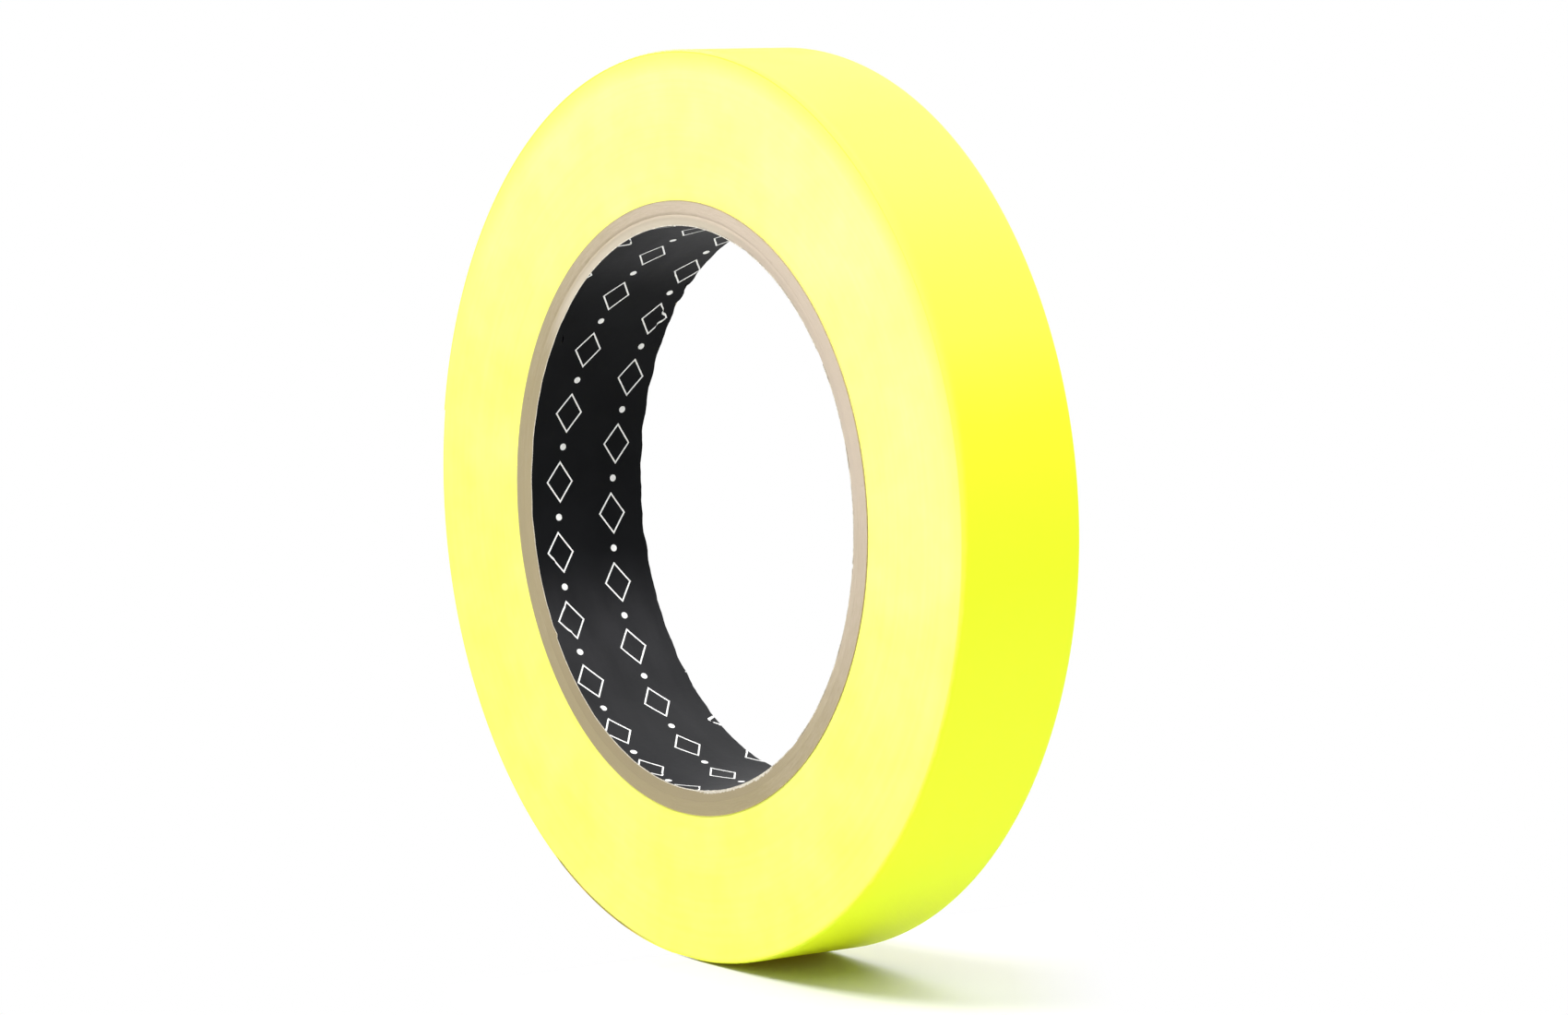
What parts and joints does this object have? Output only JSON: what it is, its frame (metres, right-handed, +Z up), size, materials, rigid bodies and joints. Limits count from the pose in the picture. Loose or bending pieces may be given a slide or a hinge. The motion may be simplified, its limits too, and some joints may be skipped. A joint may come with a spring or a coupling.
{
  "type": "cloth tape roll",
  "caption": "Roll of fluorescent yellow cloth tape standing on its tread, wound on a spiral paperboard core with a black printed liner, with a free end that peels open.",
  "frame": {"origin": "centre of the core's bore, at the middle of the tape's width", "axes": "+Y along the roll's axis, away from the front side face; +X to the right seen from the front; +Z up, with the roll standing on its tread"},
  "size_m": [0.123, 0.019, 0.123],
  "materials": {
    "black_printed_paper": null,
    "grey_board": "matt cut paperboard",
    "kraft_paper": "matt paper",
    "wound_cloth_tape": "matt cut edges of the turns",
    "yellow_coated_cloth": "matt fluorescent coating over fine plain weave",
    "rubber_adhesive": "tacky, slightly glossy"
  },
  "bodies": {
    "roll": {"core_liner": "black_printed_paper", "core_ply_1": "grey_board", "core_ply_2": "grey_board", "core_ply_3": "grey_board", "core_ply_4": "grey_board", "core_ply_5": "grey_board", "core_ply_6": "grey_board", "core_ply_7": "grey_board", "core_outer_wrap": "kraft_paper", "wound_turns": "wound_cloth_tape", "outer_turn_adhesive": "rubber_adhesive", "outer_turn_backing": "yellow_coated_cloth"},
    "free_end_1": {"free_end_adhesive_1": "rubber_adhesive", "free_end_backing_1": "yellow_coated_cloth"},
    "free_end_2": {"free_end_adhesive_2": "rubber_adhesive", "free_end_backing_2": "yellow_coated_cloth"},
    "free_end_3": {"free_end_adhesive_3": "rubber_adhesive", "free_end_backing_3": "yellow_coated_cloth"},
    "free_end_4": {"free_end_adhesive_4": "rubber_adhesive", "free_end_backing_4": "yellow_coated_cloth"},
    "free_end_5": {"free_end_adhesive_5": "rubber_adhesive", "free_end_backing_5": "yellow_coated_cloth"},
    "free_end_6": {"free_end_adhesive_6": "rubber_adhesive", "free_end_backing_6": "yellow_coated_cloth"},
    "free_end_7": {"free_end_adhesive_7": "rubber_adhesive", "free_end_backing_7": "yellow_coated_cloth"},
    "free_end_8": {"free_end_adhesive_8": "rubber_adhesive", "free_end_backing_8": "yellow_coated_cloth"}
  },
  "joints": [
    {"name": "peel_hinge", "type": "hinge", "parent": "roll", "child": "free_end_1", "pos_m": [-0.02322, 0, 0.05716], "axis": [0, 1, 0], "range_deg": [0, 20]},
    {"name": "peel_follow_2", "type": "hinge", "parent": "free_end_1", "child": "free_end_2", "pos_m": [-0.02812, 0, 0.05493], "axis": [0, 1, 0], "range_deg": [0, 20]},
    {"name": "peel_follow_3", "type": "hinge", "parent": "free_end_2", "child": "free_end_3", "pos_m": [-0.0328, 0, 0.05228], "axis": [0, 1, 0], "range_deg": [0, 20]},
    {"name": "peel_follow_4", "type": "hinge", "parent": "free_end_3", "child": "free_end_4", "pos_m": [-0.03723, 0, 0.04924], "axis": [0, 1, 0], "range_deg": [0, 20]},
    {"name": "peel_follow_5", "type": "hinge", "parent": "free_end_4", "child": "free_end_5", "pos_m": [-0.04138, 0, 0.04581], "axis": [0, 1, 0], "range_deg": [0, 9]},
    {"name": "peel_follow_6", "type": "hinge", "parent": "free_end_5", "child": "free_end_6", "pos_m": [-0.04871, 0, 0.03796], "axis": [0, 1, 0], "range_deg": [0, 9]},
    {"name": "peel_follow_7", "type": "hinge", "parent": "free_end_6", "child": "free_end_7", "pos_m": [-0.05456, 0, 0.02894], "axis": [0, 1, 0], "range_deg": [0, 9]},
    {"name": "peel_follow_8", "type": "hinge", "parent": "free_end_7", "child": "free_end_8", "pos_m": [-0.05876, 0, 0.01905], "axis": [0, 1, 0], "range_deg": [0, 9]}
  ],
  "couplings": [
    {"joint": "peel_follow_2", "follows": "peel_hinge", "ratio": 1},
    {"joint": "peel_follow_3", "follows": "peel_hinge", "ratio": 1},
    {"joint": "peel_follow_4", "follows": "peel_hinge", "ratio": 1},
    {"joint": "peel_follow_5", "follows": "peel_hinge", "ratio": 0.45},
    {"joint": "peel_follow_6", "follows": "peel_hinge", "ratio": 0.45},
    {"joint": "peel_follow_7", "follows": "peel_hinge", "ratio": 0.45},
    {"joint": "peel_follow_8", "follows": "peel_hinge", "ratio": 0.45}
  ]
}
